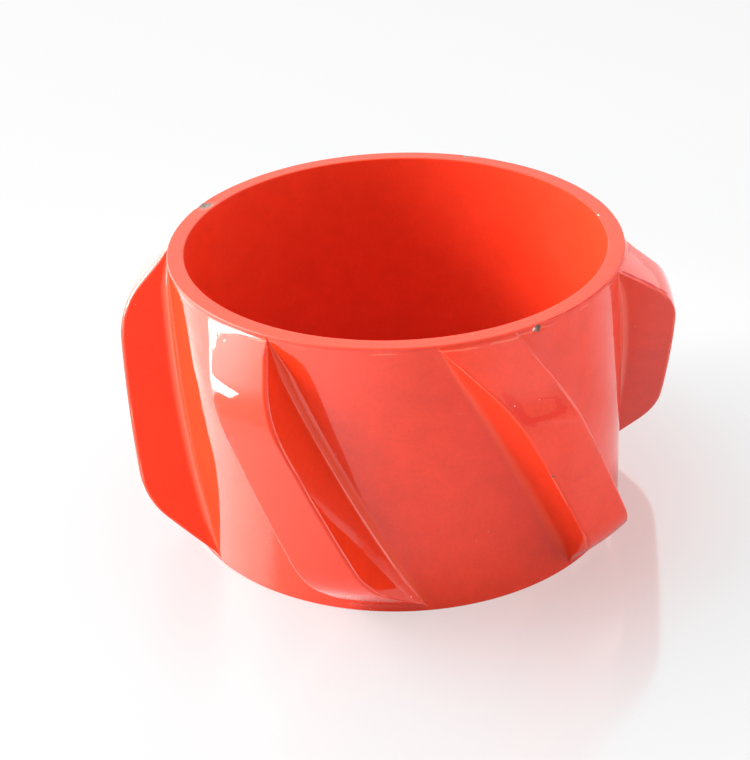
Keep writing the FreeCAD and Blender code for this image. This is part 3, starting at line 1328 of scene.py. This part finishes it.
def make_board():
    material, tree, board, place = start_material("white_board")
    board.inputs["Base Color"].default_value = FLOOR_COLOR
    board.inputs["Roughness"].default_value = FLOOR_ROUGHNESS
    ray = tree.nodes.new("ShaderNodeLightPath")
    in_view, in_gloss = ray.outputs["Is Camera Ray"], ray.outputs["Is Glossy Ray"]
    away = with_vectors(tree, "LENGTH", place)
    to_window = distance_toward(tree, place, WASHED_SIDE)
    washed = fade(tree, to_window, WASHED_START, WASHED_FULL, 1.0, WASHED_SHARE)

    matt = tree.nodes.new("ShaderNodeBsdfDiffuse")
    matt.inputs["Color"].default_value = FLOOR_COLOR
    glow = tree.nodes.new("ShaderNodeEmission")
    # painted red bounce light from the part, mixed into the glow's colour near it
    red_bounce = times(tree, fade(tree, away, sleeve_radius + RED_BOUNCE_REACH, sleeve_radius), washed)
    feed(tree, glow.inputs["Color"], mixed(tree, red_bounce, WHITE, RED_BOUNCE_COLOR))
    feed(tree, glow.inputs["Strength"], glow_strength(tree, place, away, in_view, in_gloss))
    mirror = tree.nodes.new("ShaderNodeBsdfGlossy")
    blur = fade(tree, to_window, WASHED_START, WASHED_FULL, MIRROR_SHARP, MIRROR_BLURRED)
    feed(tree, mirror.inputs["Roughness"], blur)
    mirrored = times(tree, fade(tree, away, sleeve_radius, MIRROR_REACH, MIRROR_NEAR, 0.0), washed)

    look = laid_over(tree, in_view, board, matt)
    look = laid_over(tree, glow_share(tree, away, in_view, in_gloss), look, glow)
    look = laid_over(tree, times(tree, in_view, mirrored), look, mirror)
    feed(tree, tree.nodes["Material Output"].inputs["Surface"], look.outputs[0])
    return material


def make_floor():
    sheet = bmesh.new()
    bmesh.ops.create_grid(sheet, x_segments=1, y_segments=1, size=FLOOR_SIZE / 2)
    floor = finish_mesh(sheet, "floor")
    floor.data.materials.append(make_board())
    return floor


floor = make_floor()
print("board nodes:", len(floor.data.materials[0].node_tree.nodes))

# %% [markdown]
# ## Lamps
#
# The part stands beside a large window on its left, with a pale room round it
# and a darker one behind the camera. Each source is a softbox that stands on
# the floor or hangs over it, facing the bore's axis. A softbox is given by its
# heading round the part, so that its reflection in a wall can be reasoned out,
# and by its brightness, where 1 is the white of a sheet in plain light.

# %% Softboxes
SOFTBOXES = {
    # heading, distance, width, heights of the lower and upper edge, brightness
    "window_left": (171, 1.20, 1.30, 0.60, 0.88, 31.0),
    "wall_under_window": (176, 1.16, 0.74, 0.28, 0.58, 10.5),
    "sheet_back_left": (140, 1.20, 0.60, 0.28, 0.58, 4.5),
    "sheet_low_left": (172, 1.18, 1.20, 0.01, 0.26, 1.0),
    "sheet_behind": (96, 1.20, 1.50, 0.05, 0.62, 0.6),
    "sheet_right": (-5, 1.20, 0.60, 0.01, 0.70, 2.6),
}


def softbox(name, heading, distance, width, low, high, brightness):
    """An upright rectangular lamp that faces the bore's axis."""
    data = bpy.data.lights.new(name, "AREA")
    data.shape = "RECTANGLE"
    data.size, data.size_y = width, high - low
    data.energy = brightness * math.pi * width * (high - low)
    lamp = bpy.data.objects.new(name, data)
    bpy.context.scene.collection.objects.link(lamp)
    angle = math.radians(heading)
    away = studio_turn.to_3x3() @ Vector((math.cos(angle), math.sin(angle), 0))
    place = away * distance + Vector((0, 0, (low + high) / 2))
    turn = away.to_track_quat("Z", "Y").to_matrix().to_4x4()
    lamp.matrix_world = Matrix.Translation(place) @ turn


for name, values in SOFTBOXES.items():
    softbox(name, *values)
print("softboxes:", len(SOFTBOXES))

# %% [markdown]
# The room itself is the world: pale on the window's side, behind the part and
# on its right, and dark on the camera's side. The wall over the window, the
# ceiling on the right and a far corner glow too. None of them has a sharp
# border, so each is a soft lobe in the world and not a lamp.

# %% The room
ROOM_TINT = (0.97, 0.985, 1.0, 1.0)
ROOM_WALLS = {
    # heading, height angle in degrees, brightness and sharpness
    "left": (180, 6, 2.0, 1),
    "back": (90, 6, 1.0, 1),
    "right": (0, 6, 0.9, 1),
    "front": (-90, 6, 0.15, 1),
    "wall_above_window": (173, 40, 6.0, 20),
    "ceiling_right": (-22, 46, 0.9, 10),
    "corner_back_right": (56, 3, 0.40, 8),
}


def make_room():
    world = bpy.data.worlds.new("studio")
    bpy.context.scene.world = world
    world.use_nodes = True
    tree = world.node_tree
    background = tree.nodes["Background"]
    background.inputs["Color"].default_value = ROOM_TINT
    direction = tree.nodes.new("ShaderNodeTexCoord").outputs["Generated"]
    total = 0.0
    for heading, rise, brightness, sharpness in ROOM_WALLS.values():
        side = Vector((math.cos(math.radians(rise)), 0, math.sin(math.radians(rise))))
        side.rotate(Matrix.Rotation(math.radians(heading) - CAMERA_HEADING, 3, "Z"))
        lit = highest_of(tree, with_vectors(tree, "DOT_PRODUCT", direction, side), 0.0)
        lobe = calculate(tree, "POWER", lit, sharpness)
        total = calculate(tree, "MULTIPLY_ADD", lobe, brightness, total)
    feed(tree, background.inputs["Strength"], total)


make_room()
print("lobes in the room:", len(ROOM_WALLS))

# %% Render settings that the look needs
bpy.context.scene.view_settings.view_transform = "Standard"
